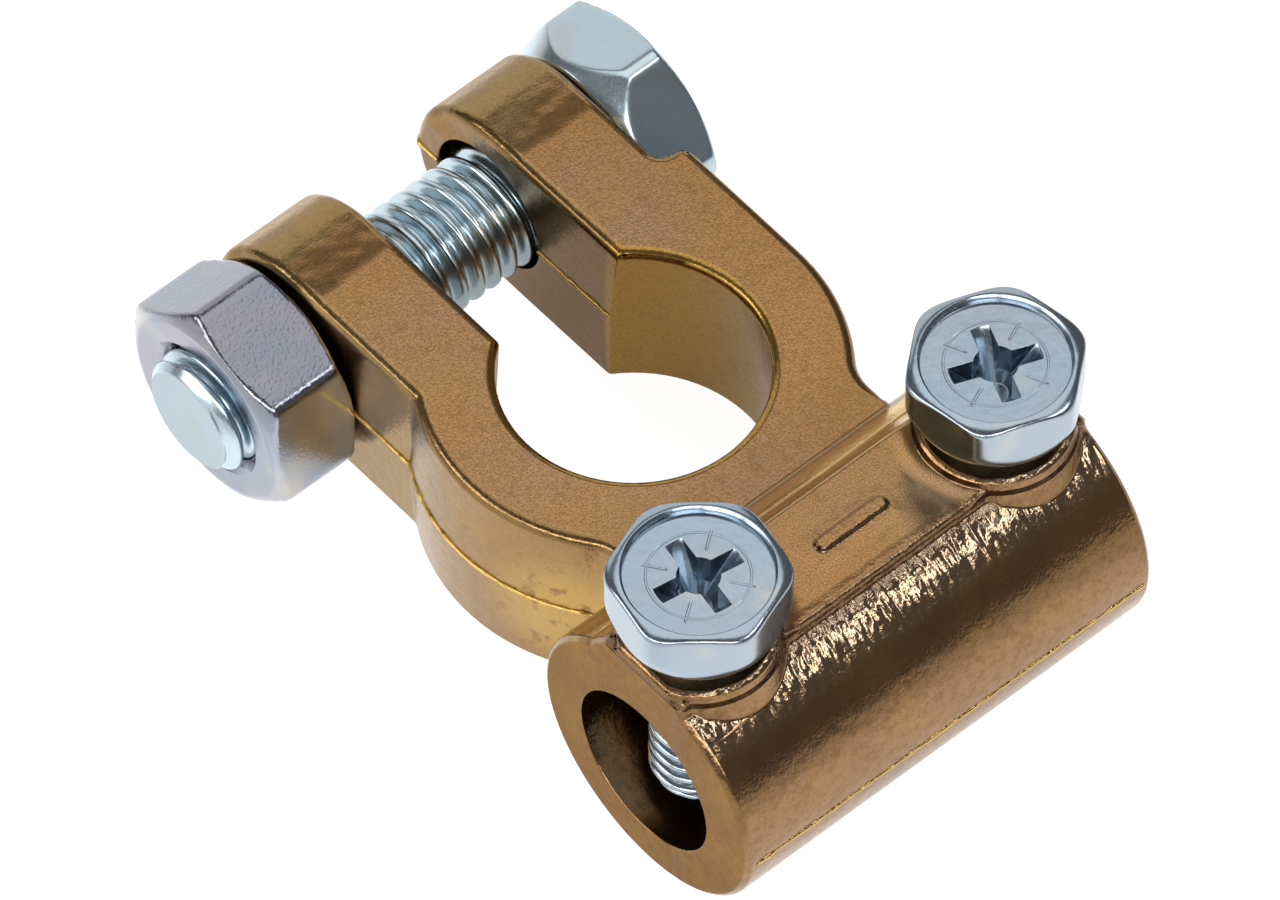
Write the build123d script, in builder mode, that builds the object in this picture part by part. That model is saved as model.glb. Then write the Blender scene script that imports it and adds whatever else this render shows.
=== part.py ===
from build123d import *
from math import cos, radians, sqrt, tan
import os

# Battery terminal clamp: a cast brass body, a clamping bolt with its nut, and two cable screws.
# Millimetres. The origin is on the battery post's axis, in the plane of the ring's underside.
# +X runs along the clamping bolt and the cable barrel, +Y from the barrel to the ears, +Z up.

# Ring and casting. The mould parts at mid height, and the walls are drafted both ways from there.
ring_height = 13.2
ring_radius = 13.3
post_bore_top_diameter = 16.1
post_taper_length = 9.0
wall_draft = 3.0
slot_draft = 1.5
cast_edge_bevel = 0.4

# Ears, each with a full-round tip about the hole of the clamping bolt.
ear_reach = 18.1
shoulder_depth = 1.9
slot_tip_width = 8.6
slot_root_width = 8.9
bolt_hole_clearance = 0.55
shoulder_clearance = 0.15
shoulder_corner_round = 1.15
concave_corner_round = 0.5

# Neck between the ring and the cable barrel.
neck_width = 19.8
neck_round = 3.0
neck_foot_round = 2.0
neck_foot_inset = 0.6
web_inset = 0.7

# Cable barrel, which lies across the neck and is open at both ends.
barrel_radius = 9.0
barrel_length = 31.4
barrel_set_back = 19.0
barrel_axis_height = 7.5
barrel_edge_bevel = 0.35
cable_bore_diameter = 11.0
cable_bore_offset_y = 0.2
cable_bore_drop = 0.5

# Flat pad along the barrel's crest, with a slope down to the ring and a raised polarity bar.
pad_rise = 0.25
pad_width = 6.8
pad_slope_run = 2.8
pad_slope_drop = 3.55
pad_front_run = 0.5
pad_corner_round = 0.4
polarity_bar_length = 5.4
polarity_bar_shift = 0.3
polarity_bar_width = 1.1
polarity_bar_height = 0.35
polarity_bar_taper = 25.0

# Screw bosses on the pad.
boss_top_diameter = 9.4
boss_rise = 0.55
boss_depth = 3.4
boss_flank_angle = 15.0
boss_edge_bevel = 0.25
screw_inset = 4.3

# Clamping bolt and nut, M8.
bolt_diameter = 7.9
bolt_stand_out = 1.3
bolt_end_chamfer = 0.65
bolt_head_across_flats = 13.0
bolt_head_height = 5.3
bolt_head_turn = -15.1
bolt_rolled_edge = 0.35
bolt_hang_gap = 0.1
nut_across_flats = 13.0
nut_height = 6.2
nut_turn = 20.3
nut_bore_clearance = 0.05
nut_countersink = 0.65
head_chamfer_angle = 30.0
head_face_inset = 0.3
rolled_edge_angle = 60.0

# Cable screws, M6.
screw_diameter = 5.94
screw_length = 15.0
screw_tip_chamfer = 0.5
screw_hole_clearance = 0.05
screw_head_across_flats = 10.0
screw_head_height = 4.3
screw_head_stand_off = 1.45
screw_rim_width = 0.5
screw_rim_bevel = 0.16
screw_rim_inset = 0.08
screw_dish_depth = 0.5
screw_rolled_edge = 0.3
recess_wing_span = 5.6
recess_wing_width = 1.15
recess_depth = 3.0
recess_core_diameter = 2.6
recess_tip_diameter = 1.6
left_head_turn = 19.2
left_recess_turn = -9.5
right_head_turn = 39.4
right_recess_turn = -21.8

# Places that follow from the sizes above.
parting_height = ring_height / 2
ear_round = ring_height / 2
ear_face = ring_radius - shoulder_depth
ears_width = 2 * ear_face
arm_end = ear_reach + ear_round + cast_edge_bevel
bolt_radius = bolt_diameter / 2
bolt_length = ears_width + nut_height + bolt_stand_out
bolt_hole_radius = bolt_radius + bolt_hole_clearance
bolt_axis_height = parting_height - bolt_hole_clearance + bolt_hang_gap
bolt_head_corner = bolt_head_across_flats / sqrt(3)
shoulder_reach = ear_reach - bolt_head_corner * cos(radians(bolt_head_turn)) - shoulder_clearance
post_bore_bottom_diameter = post_bore_top_diameter + ring_height / post_taper_length
barrel_y = -barrel_set_back
cable_bore_y = barrel_y + cable_bore_offset_y
cable_bore_height = barrel_axis_height - cable_bore_drop
pad_top = barrel_axis_height + barrel_radius + pad_rise
boss_top = pad_top + boss_rise
screw_line_y = cable_bore_y
pad_back = screw_line_y + pad_width / 2
pad_front = screw_line_y - pad_width / 2
pad_slope_foot = pad_back + pad_slope_run
pad_slope_foot_height = pad_top - pad_slope_drop
neck_foot = pad_slope_foot - neck_foot_inset
neck_root = -sqrt(ring_radius**2 - (neck_width / 2) ** 2)
arm_root = sqrt(ring_radius**2 - ear_face**2)
screw_radius = screw_diameter / 2
screw_offset = barrel_length / 2 - screw_inset
screw_seat = boss_top + screw_head_stand_off
overshoot = ring_height


UP = (Align.CENTER, Align.CENTER, Align.MIN)
DOWN = (Align.CENTER, Align.CENTER, Align.MAX)
SIDES = (-1, 1)


def corner(sketch, x, y):
    """The corner of a sketch that lies nearest to a point of the parting plane."""
    return sketch.vertices().sort_by_distance((x, y, parting_height))[0]


with BuildPart() as barrel:
    # Cable barrel with its pad, one section along the whole length.
    with BuildSketch(Plane.YZ) as barrel_section:
        with Locations((barrel_y, barrel_axis_height)):
            Circle(barrel_radius)
        with BuildLine():
            Polyline(
                (pad_slope_foot, pad_slope_foot_height),
                (pad_back, pad_top),
                (pad_front, pad_top),
                (pad_front - pad_front_run, barrel_axis_height),
                (barrel_y, barrel_axis_height),
                close=True,
            )
        make_face()
        fillet(barrel_section.vertices(), pad_corner_round)
    extrude(amount=barrel_length / 2, both=True)
    ends = barrel.faces().filter_by(Axis.X)
    chamfer(ends.edges(), barrel_edge_bevel)

with BuildPart() as boss:
    # One screw boss, a low cone cut off flush with the barrel's end.
    with Locations((screw_offset, screw_line_y, boss_top)):
        Cone(
            bottom_radius=boss_top_diameter / 2 + boss_depth * tan(radians(boss_flank_angle)),
            top_radius=boss_top_diameter / 2,
            height=boss_depth,
            align=DOWN,
        )
    split(bisect_by=Plane.YZ.offset(barrel_length / 2), keep=Keep.BOTTOM)
    chamfer(boss.edges().group_by(Axis.Z)[-1], boss_edge_bevel)

with BuildPart() as clamp_body:
    # Ring, arms, shoulder and neck, drafted both ways from the parting plane.
    with BuildSketch(Plane.XY.offset(parting_height)) as outline:
        Circle(ring_radius)
        with Locations((0, arm_end / 2)):
            Rectangle(2 * ear_face, arm_end)
        with Locations((ring_radius / 2, shoulder_reach / 2)):
            Rectangle(ring_radius, shoulder_reach)
        with Locations((0, neck_foot / 2)):
            Rectangle(neck_width, -neck_foot)
        with Locations((0, (neck_foot + barrel_y) / 2)):
            Rectangle(barrel_length - 2 * web_inset, neck_foot - barrel_y)
        fillet(corner(outline, ring_radius, shoulder_reach), shoulder_corner_round)
        fillet(corner(outline, ear_face, shoulder_reach), concave_corner_round)
        fillet(corner(outline, -ear_face, arm_root), concave_corner_round)
        for side in SIDES:
            fillet(corner(outline, side * neck_width / 2, neck_root), neck_round)
            fillet(corner(outline, side * neck_width / 2, neck_foot), neck_foot_round)
    extrude(amount=ring_height / 2)
    walls = clamp_body.faces().filter_by(Axis.Z, reverse=True)
    draft(walls, Plane.XY.offset(parting_height), wall_draft)
    mirror(about=Plane.XY.offset(parting_height))
    # Full-round ear tips.
    with BuildSketch(Plane.YZ) as tip_waste:
        with Locations((ear_reach, parting_height)):
            Rectangle(overshoot, ring_height + overshoot, align=(Align.MIN, Align.CENTER))
            Circle(ear_round, mode=Mode.SUBTRACT)
    extrude(amount=ears_width, both=True, mode=Mode.SUBTRACT)
    # Slot between the arms, closing a little towards the tips.
    with BuildSketch(Plane.XY.offset(parting_height)):
        with BuildLine():
            Polyline(
                (-slot_root_width / 2, 0),
                (slot_root_width / 2, 0),
                (slot_tip_width / 2, arm_end),
                (-slot_tip_width / 2, arm_end),
                close=True,
            )
        make_face()
    extrude(amount=ring_height / 2, both=True, taper=-slot_draft, mode=Mode.SUBTRACT)
    # Tapered bore for the battery post.
    Cone(
        bottom_radius=post_bore_bottom_diameter / 2,
        top_radius=post_bore_top_diameter / 2,
        height=ring_height,
        align=UP,
        mode=Mode.SUBTRACT,
    )
    # Broken edges all round both flats, which run on round the ear tips.
    flats = clamp_body.faces().filter_by(Axis.Z)
    chamfer(flats.edges(), cast_edge_bevel)
    add(barrel.part)
    add(boss.part)
    add(mirror(boss.part, Plane.YZ, mode=Mode.PRIVATE))
    # Raised polarity bar on the pad.
    with BuildSketch(Plane.XY.offset(pad_top)):
        with Locations((polarity_bar_shift, screw_line_y)):
            SlotOverall(polarity_bar_length, polarity_bar_width)
    extrude(amount=polarity_bar_height, taper=polarity_bar_taper)
    # Cable bore, tapped screw holes and the bolt's clearance hole.
    with Locations((0, cable_bore_y, cable_bore_height)):
        Cylinder(cable_bore_diameter / 2, barrel_length + overshoot, rotation=(0, 90, 0), mode=Mode.SUBTRACT)
    with Locations(*[(side * screw_offset, screw_line_y, cable_bore_height) for side in SIDES]):
        Cylinder(
            screw_radius + screw_hole_clearance,
            barrel_radius + overshoot,
            align=UP,
            mode=Mode.SUBTRACT,
        )
    with Locations((0, ear_reach, parting_height)):
        Cylinder(bolt_hole_radius, ears_width + overshoot, rotation=(0, 90, 0), mode=Mode.SUBTRACT)

# Planes that look along +X: the bolt head's seat, and the outer end of the nut.
bolt_seat = Plane(origin=(ear_face, ear_reach, bolt_axis_height), x_dir=(0, 1, 0), z_dir=(1, 0, 0))
nut_end = bolt_seat.offset(-ears_width - nut_height)


def trim_corners(across_flats, height, inset, angle, under=False):
    """Take the corners off one end of a hexagon with a cone at an angle to its end face."""
    face_radius = across_flats / 2 - inset
    open_radius = face_radius + height / tan(radians(angle))
    if under:
        Cone(face_radius, open_radius, height, align=UP, mode=Mode.INTERSECT)
    else:
        Cone(open_radius, face_radius, height, align=UP, mode=Mode.INTERSECT)


with BuildPart(bolt_seat) as terminal_bolt:
    # Hexagon head, chamfered at its end and rolled off underneath, on a plain shank.
    with BuildSketch(bolt_seat):
        RegularPolygon(bolt_head_across_flats / 2, 6, major_radius=False, rotation=bolt_head_turn)
    extrude(amount=bolt_head_height)
    trim_corners(bolt_head_across_flats, bolt_head_height, head_face_inset, head_chamfer_angle)
    trim_corners(bolt_head_across_flats, bolt_head_height, bolt_rolled_edge, rolled_edge_angle, under=True)
    Cylinder(bolt_radius, bolt_length, align=DOWN)
    chamfer(terminal_bolt.edges().sort_by(Axis.X)[0], bolt_end_chamfer)

with BuildPart(nut_end) as terminal_nut:
    # Hexagon nut, chamfered and countersunk at both ends.
    with BuildSketch(nut_end):
        RegularPolygon(nut_across_flats / 2, 6, major_radius=False, rotation=nut_turn)
    extrude(amount=nut_height)
    for under in (False, True):
        trim_corners(nut_across_flats, nut_height, head_face_inset, head_chamfer_angle, under)
    Cylinder(bolt_radius + nut_bore_clearance, nut_height, align=UP, mode=Mode.SUBTRACT)
    bore_rims = terminal_nut.edges().filter_by(GeomType.CIRCLE).filter_by(
        lambda edge: edge.radius < bolt_hole_radius
    )
    chamfer(bore_rims, nut_countersink)


def cable_screw(x, head_turn, recess_turn):
    """A hexagon-headed screw with a dished head and a cross recess, standing down from its seat."""
    # The recess, in the head's own frame: four wings round a core, closing to a blunt point.
    dish_floor = Plane.XY.offset(screw_head_height - screw_dish_depth)
    with BuildPart(dish_floor) as recess:
        with BuildSketch(dish_floor):
            for wing_turn in (recess_turn, recess_turn + 90):
                Rectangle(recess_wing_span, recess_wing_width, rotation=wing_turn)
            Circle(recess_core_diameter / 2)
        extrude(amount=-recess_depth)
        Cone(
            bottom_radius=recess_tip_diameter / 2,
            top_radius=recess_wing_span / 2,
            height=recess_depth,
            align=DOWN,
            mode=Mode.INTERSECT,
        )
    seat = Plane((x, screw_line_y, screw_seat))
    with BuildPart(seat) as screw:
        with BuildSketch(seat):
            RegularPolygon(screw_head_across_flats / 2, 6, major_radius=False, rotation=head_turn)
        extrude(amount=screw_head_height)
        trim_corners(screw_head_across_flats, screw_head_height, screw_rim_inset, head_chamfer_angle)
        trim_corners(
            screw_head_across_flats, screw_head_height, screw_rolled_edge, rolled_edge_angle, under=True
        )
        # Shallow dish inside the rim.
        with BuildSketch(seat.offset(screw_head_height)):
            Circle(screw_head_across_flats / 2 - screw_rim_inset - screw_rim_width)
        extrude(amount=-screw_dish_depth, mode=Mode.SUBTRACT)
        chamfer(screw.faces().sort_by(Axis.Z)[-1].inner_wires()[0].edges(), screw_rim_bevel)
        add(recess.part, mode=Mode.SUBTRACT)
        Cylinder(screw_radius, screw_length, align=DOWN)
        chamfer(screw.edges().sort_by(Axis.Z)[0], screw_tip_chamfer)
    return screw


cable_screw_left = cable_screw(-screw_offset, left_head_turn, left_recess_turn)
cable_screw_right = cable_screw(screw_offset, right_head_turn, right_recess_turn)

clamp_body.part.label = "clamp_body"
terminal_bolt.part.label = "terminal_bolt"
terminal_nut.part.label = "terminal_nut"
cable_screw_left.part.label = "cable_screw_left"
cable_screw_right.part.label = "cable_screw_right"

os.makedirs("parts", exist_ok=True)
export_step(clamp_body.part, "parts/clamp_body.step")
export_step(terminal_bolt.part, "parts/terminal_bolt.step")
export_step(terminal_nut.part, "parts/terminal_nut.step")
export_step(cable_screw_left.part, "parts/cable_screw_left.step")
export_step(cable_screw_right.part, "parts/cable_screw_right.step")
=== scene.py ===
"""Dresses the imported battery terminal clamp: cast brass, zinc-plated fasteners, threads and flash."""

import logging
from dataclasses import dataclass
from enum import Enum
from math import cos, pi, radians, sin, tan

import bmesh
import bpy
from bmesh.types import BMEdge, BMesh, BMVert
from bpy.types import Material, Mesh, Node, NodeSocket, NodeTree, Object
from mathutils import Matrix, Vector


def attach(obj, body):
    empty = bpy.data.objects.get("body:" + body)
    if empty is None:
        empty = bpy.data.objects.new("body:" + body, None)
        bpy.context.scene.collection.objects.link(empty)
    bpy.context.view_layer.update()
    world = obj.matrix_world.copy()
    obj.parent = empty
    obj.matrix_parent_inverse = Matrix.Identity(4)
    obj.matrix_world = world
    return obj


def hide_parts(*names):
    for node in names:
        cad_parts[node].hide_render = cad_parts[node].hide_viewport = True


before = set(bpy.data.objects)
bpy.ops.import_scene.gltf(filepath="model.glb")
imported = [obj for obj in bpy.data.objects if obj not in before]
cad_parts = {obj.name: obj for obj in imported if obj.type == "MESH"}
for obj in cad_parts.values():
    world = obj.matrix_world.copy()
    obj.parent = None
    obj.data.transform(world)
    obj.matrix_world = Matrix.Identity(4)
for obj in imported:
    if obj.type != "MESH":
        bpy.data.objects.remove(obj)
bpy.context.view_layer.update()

log = logging.getLogger("terminal_clamp")

Socket = NodeSocket
Colour = tuple[float, float, float, float]
Band = tuple[float, float]
Mask = tuple[tuple, ...]

MM = 0.001


def mm(*values: float) -> tuple:
    """Millimetres as metres."""
    return tuple(value * MM for value in values)


# Places that the looks share with the casting, in metres.
PARTING_HEIGHT = 6.6 * MM
EAR_FACE, EAR_REACH = mm(11.4, 18.1)
BORE_REACH = 9.4 * MM
BOLT_AXIS = Vector(mm(0.0, 18.1, 6.15))
BARREL_AXIS = Vector(mm(0.0, -19.0, 7.5))
BARREL_RADIUS = 9.0 * MM
SCREW_LINE, SCREW_OFFSET = mm(-18.8, 11.4)
SCREW_SEAT, SCREW_DISH = mm(18.75, 22.55)
FLOOR_HEIGHT = -1.5 * MM
NUT_HEIGHT = 6.2 * MM
RECESS_TURNS = (-9.5, -21.8)

# How a copy of a CAD node's triangles is closed, and its flat facets are joined.
WELD_REACH = 0.002 * MM
FACET_ANGLE = 0.8

# The shared grain: its octaves, and the levels between which it becomes a mask.
GRAIN_DETAIL = 3.0
SPECKLE_LEVELS: Band = (0.3, 0.7)

WORN = "worn"
BLACK: Colour = (0.0, 0.0, 0.0, 1.0)
WHITE: Colour = (1.0, 1.0, 1.0, 1.0)


class Seat(Enum):
    """Which way a fastener's head looks from its seat."""

    UP = Matrix.Identity(4)
    OUT = Matrix(((0, 0, 1, 0), (1, 0, 0, 0), (0, 1, 0, 0), (0, 0, 0, 1)))

    def at(self, place: Vector) -> Matrix:
        """The seat's matrix at a place."""
        return Matrix.Translation(place) @ self.value


def way_out(azimuth: float, elevation: float) -> Vector:
    """The direction away from the clamp at an azimuth and an elevation, in degrees."""
    turn, rise = radians(azimuth), radians(elevation)
    return Vector((sin(turn) * cos(rise), -cos(turn) * cos(rise), sin(rise)))


def new_object(name: str, data: bpy.types.ID) -> Object:
    """Links a new object at the origin.

    Args:
        name: The object's name.
        data: Its camera, lamp or mesh, which has its place already in the vertices.

    Returns:
        The linked object.
    """
    obj = bpy.data.objects.new(name, data)
    bpy.context.scene.collection.objects.link(obj)
    return obj


def apply_modifiers(obj: Object, name: str) -> Object:
    """Turns an object with live modifiers into a plain mesh object.

    Args:
        obj: The object with its modifiers, which is removed.
        name: The plain object's name.

    Returns:
        The plain object.
    """
    bpy.context.view_layer.update()
    graph = bpy.context.evaluated_depsgraph_get()
    mesh = bpy.data.meshes.new_from_object(obj.evaluated_get(graph), depsgraph=graph)
    bpy.data.objects.remove(obj)
    mesh.name = name
    return new_object(name, mesh)


def merged_copy(node: str) -> BMesh:
    """A closed copy of a CAD node's loose triangles, its flat facets joined into whole faces.

    Args:
        node: The CAD node's name.

    Returns:
        The copy, for the caller to change and free.
    """
    bm = bmesh.new()
    bm.from_mesh(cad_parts[node].data)
    bmesh.ops.remove_doubles(bm, verts=bm.verts, dist=WELD_REACH)
    bmesh.ops.dissolve_degenerate(bm, edges=bm.edges, dist=WELD_REACH)
    bmesh.ops.dissolve_limit(bm, angle_limit=radians(FACET_ANGLE), verts=bm.verts, edges=bm.edges)
    return bm


def mesh_from(bm: BMesh, name: str) -> Mesh:
    """Writes a bmesh to a new smooth-shaded mesh and frees it.

    Args:
        bm: The finished bmesh.
        name: The mesh's name.

    Returns:
        The mesh.
    """
    for face in bm.faces:
        face.smooth = True
    mesh = bpy.data.meshes.new(name)
    bm.to_mesh(mesh)
    bm.free()
    return mesh


def rounded(name: str, bm: BMesh, material: Material, **bevel: object) -> Object:
    """Rounds the edges of a mesh, evens its shading and gives it its material.

    Args:
        name: The object's name.
        bm: The mesh, which is freed.
        material: Its material.
        **bevel: Settings of the Bevel modifier.

    Returns:
        The plain object.
    """
    obj = new_object(name + "_draft", mesh_from(bm, name))
    edges = obj.modifiers.new("edges", "BEVEL")
    for key, value in bevel.items():
        setattr(edges, key, value)
    obj.modifiers.new("shade", "WEIGHTED_NORMAL").keep_sharp = True
    piece = apply_modifiers(obj, name)
    piece.data.materials.clear()
    piece.data.materials.append(material)
    return piece


def join_meshes(name: str, objects: list[Object]) -> Object:
    """Joins plain mesh objects into the first of them.

    Args:
        name: The joined object's name.
        objects: The objects, all at the origin.

    Returns:
        The joined object.
    """
    with bpy.context.temp_override(
        active_object=objects[0], selected_objects=objects, selected_editable_objects=objects
    ):
        bpy.ops.object.join()
    objects[0].name = name
    return objects[0]


def add_sockets(tree: NodeTree, direction: str, kind: str, *names: str) -> None:
    """Gives a node group named sockets of one kind.

    Args:
        tree: The node group.
        direction: INPUT or OUTPUT.
        kind: Float, Vector or Geometry.
        *names: The sockets' names.
    """
    for name in names:
        tree.interface.new_socket(name, in_out=direction, socket_type="NodeSocket" + kind)


class Wires:
    """Short ways to add nodes to one tree and to join them."""

    def __init__(self, tree: NodeTree) -> None:
        """Keeps the tree that the nodes go into."""
        self.tree = tree

    def node(self, kind: str, **settings: object) -> Node:
        """Adds a node and sets its properties.

        Args:
            kind: The node's type name.
            **settings: Properties of the node.

        Returns:
            The node.
        """
        node = self.tree.nodes.new(kind)
        for key, value in settings.items():
            setattr(node, key, value)
        return node

    def put(self, value: object, socket: Socket) -> None:
        """Links an output socket to an input, or sets the input to a plain value.

        Args:
            value: The output socket or the value.
            socket: The input.
        """
        if isinstance(value, Socket):
            self.tree.links.new(value, socket)
        else:
            socket.default_value = value

    def fed(self, kind: str, given: dict[str, object], **settings: object) -> Node:
        """Adds a node and feeds its named inputs.

        Args:
            kind: The node's type name.
            given: Values or sockets by the inputs' names.
            **settings: Properties of the node.

        Returns:
            The node.
        """
        node = self.node(kind, **settings)
        for name, value in given.items():
            self.put(value, node.inputs[name])
        return node

    def math(self, operation: str, *values: object) -> Socket:
        """A Math node's result.

        Args:
            operation: The node's operation.
            *values: Up to three values or sockets.

        Returns:
            The result's socket.
        """
        node = self.node("ShaderNodeMath", operation=operation)
        for value, socket in zip(values, node.inputs):
            self.put(value, socket)
        return node.outputs[0]

    def times(self, value: object, *others: object) -> Socket:
        """The product of its values, taken in order.

        Args:
            value: The first value or socket.
            *others: The others.

        Returns:
            The result's socket.
        """
        for other in others:
            value = self.math("MULTIPLY", value, other)
        return value

    def plus(self, value: object, *others: object) -> Socket:
        """The sum of its values, taken in order.

        Args:
            value: The first value or socket.
            *others: The others.

        Returns:
            The result's socket.
        """
        for other in others:
            value = self.math("ADD", value, other)
        return value

    def minus(self, a: object, b: object) -> Socket:
        """The first value less the second."""
        return self.math("SUBTRACT", a, b)

    def over(self, a: object, b: object) -> Socket:
        """The first value divided by the second."""
        return self.math("DIVIDE", a, b)

    def size(self, value: object) -> Socket:
        """A value without its sign."""
        return self.math("ABSOLUTE", value)

    def length(self, a: object, b: object) -> Socket:
        """The length of a flat vector whose parts are a and b."""
        return self.math("SQRT", self.plus(self.math("POWER", a, 2.0), self.math("POWER", b, 2.0)))

    def ramp(
        self, value: object, low: float, high: float, to: tuple = (0.0, 1.0), kind: str = "SMOOTHSTEP"
    ) -> Socket:
        """A step from one value to another as the input goes from low to high, flat beyond them.

        Args:
            value: The socket that drives it.
            low: Where the step starts.
            high: Where it ends.
            to: The values or sockets before and after it.
            kind: How it runs between them.

        Returns:
            The result's socket.
        """
        node = self.node("ShaderNodeMapRange", interpolation_type=kind, clamp=True)
        for given, socket in zip((value, low, high, *to), node.inputs):
            self.put(given, socket)
        return node.outputs["Result"]

    def steady(self, value: object, low: float, high: float, to: tuple = (0.0, 1.0)) -> Socket:
        """A ramp that runs straight."""
        return self.ramp(value, low, high, to, "LINEAR")

    def mix(self, factor: object, a: object, b: object) -> Socket:
        """A mix of two colours.

        Args:
            factor: How much of the second colour.
            a: The first colour or socket.
            b: The second colour or socket.

        Returns:
            The mixed colour's socket.
        """
        node = self.node("ShaderNodeMix", data_type="RGBA")
        for value, index in ((factor, 0), (a, 6), (b, 7)):
            self.put(value, node.inputs[index])
        return node.outputs[2]

    def noise(self, where: object, per_mm: object, detail: float = 2.0, rough: float = 0.5) -> Socket:
        """A noise over coordinates.

        Args:
            where: The coordinates.
            per_mm: Features in each millimetre.
            detail: Octaves of finer noise.
            rough: How strong those octaves are.

        Returns:
            The noise factor's socket.
        """
        scale = self.over(per_mm, MM) if isinstance(per_mm, Socket) else per_mm / MM
        given = {"Vector": where, "Scale": scale, "Detail": detail, "Roughness": rough}
        return self.fed("ShaderNodeTexNoise", given).outputs["Fac"]

    def split(self, vector: object) -> tuple[Socket, Socket, Socket]:
        """The X, Y and Z parts of a vector."""
        return tuple(self.fed("ShaderNodeSeparateXYZ", {"Vector": vector}).outputs)

    def joined(self, x: object, y: object, z: object) -> Socket:
        """A vector of three parts."""
        return self.fed("ShaderNodeCombineXYZ", {"X": x, "Y": y, "Z": z}).outputs[0]

    def moved(self, mesh: Socket, **where: Socket) -> Socket:
        """The geometry with its points at a new Position, or shifted by an Offset."""
        return self.fed("GeometryNodeSetPosition", {"Geometry": mesh, **where}).outputs[0]

    def dressed(self, mesh: Socket, material: Material) -> NodeTree:
        """Ends a Geometry Nodes tree: instances made real, and the material set.

        Args:
            mesh: The finished geometry.
            material: The material that it gets.

        Returns:
            The tree.
        """
        whole = self.fed("GeometryNodeRealizeInstances", {"Geometry": mesh}).outputs[0]
        last = self.fed("GeometryNodeSetMaterial", {"Geometry": whole, "Material": material})
        self.put(last.outputs[0], self.node("NodeGroupOutput").inputs[0])
        return self.tree


def geometry_tree(name: str, *sizes: str) -> Wires:
    """Starts a Geometry Nodes tree with a named input for each size.

    Args:
        name: The tree's name.
        *sizes: The sizes' names.

    Returns:
        The tree's wires.
    """
    tree = bpy.data.node_groups.new(name, "GeometryNodeTree")
    add_sockets(tree, "INPUT", "Geometry", "Geometry")
    add_sockets(tree, "INPUT", "Float", *sizes)
    add_sockets(tree, "OUTPUT", "Geometry", "Geometry")
    return Wires(tree)


def grown(name: str, mesh: Mesh, tree: NodeTree, sizes: dict[str, float]) -> Object:
    """Runs a Geometry Nodes tree once and keeps what it makes as a plain mesh.

    Args:
        name: The object's name.
        mesh: The mesh that the tree starts from.
        tree: The tree.
        sizes: Its inputs' values by name, set by their sockets' identifiers.

    Returns:
        The plain object.
    """
    carrier = new_object(name + "_draft", mesh)
    modifier = carrier.modifiers.new("form", "NODES")
    modifier.node_group = tree
    for item in tree.interface.items_tree:
        if item.in_out == "INPUT" and item.name in sizes:
            modifier[item.identifier] = sizes[item.name]
    return apply_modifiers(carrier, name)


def grain_group() -> NodeTree:
    """The shared grain of a metal skin: a fine unevenness as a height and as a mask.

    Returns:
        The shader node group.
    """
    tree = bpy.data.node_groups.new("metal_skin_grain", "ShaderNodeTree")
    add_sockets(tree, "INPUT", "Vector", "Position")
    add_sockets(tree, "INPUT", "Float", "Fine per mm")
    add_sockets(tree, "OUTPUT", "Float", "Height", "Speckle")
    w = Wires(tree)
    given = w.node("NodeGroupInput").outputs
    made = w.node("NodeGroupOutput").inputs
    grain = w.noise(given["Position"], given["Fine per mm"], GRAIN_DETAIL)
    w.put(grain, made["Height"])
    w.put(w.ramp(grain, *SPECKLE_LEVELS), made["Speckle"])
    return tree


class Metal(Wires):
    """A new metal material, with the coordinates, directions and grain that its finish reads."""

    def __init__(self, name: str, grain: NodeTree, grain_per_mm: float) -> None:
        """Starts the material.

        Args:
            name: Its name.
            grain: The shared grain group.
            grain_per_mm: How fine its grain is.
        """
        self.material = bpy.data.materials.new(name)
        self.material.use_nodes = True
        super().__init__(self.material.node_tree)
        self.shader = self.tree.nodes["Principled BSDF"].inputs
        self.place = self.node("ShaderNodeTexCoord").outputs["Object"]
        self.x, self.y, self.z = self.split(self.place)
        right, _, self.up = self.split(self.node("ShaderNodeNewGeometry").outputs["Normal"])
        self.aside, self.sideways = self.size(self.x), self.size(right)
        given = {"Position": self.place, "Fine per mm": grain_per_mm}
        self.grain, self.speckle = self.fed("ShaderNodeGroup", given, node_tree=grain).outputs

    def mask(self, limits: Mask) -> Socket:
        """The product of ramps, each on one of the metal's own axes from its start to where it is whole."""
        return self.times(*(self.ramp(getattr(self, axis), *levels) for axis, *levels in limits))

    def finished(self, colour: Socket, rough: Socket, height: Socket) -> Material:
        """Joins the finish to the shader.

        Args:
            colour: The base colour.
            rough: The roughness.
            height: The relief in millimetres.

        Returns:
            The material.
        """
        bump = self.fed("ShaderNodeBump", {"Strength": 1.0, "Distance": MM, "Height": height})
        looks = {"Base Color": colour, "Metallic": 1.0, "Roughness": rough, "Normal": bump.outputs[0]}
        for name, value in looks.items():
            self.put(value, self.shader[name])
        return self.material


@dataclass(frozen=True)
class Cloud:
    """A soft patchiness of a metal's skin: noise, cut between two levels."""

    per_mm: float
    detail: float
    rough: float = 0.5
    levels: Band = (0.4, 0.6)
    strength: float = 1.0

    def on(self, w: Metal) -> Socket:
        """The patchiness, from 0 to its strength."""
        noise = w.noise(w.place, self.per_mm, self.detail, self.rough)
        return w.ramp(noise, *self.levels, (0.0, self.strength))


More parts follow.
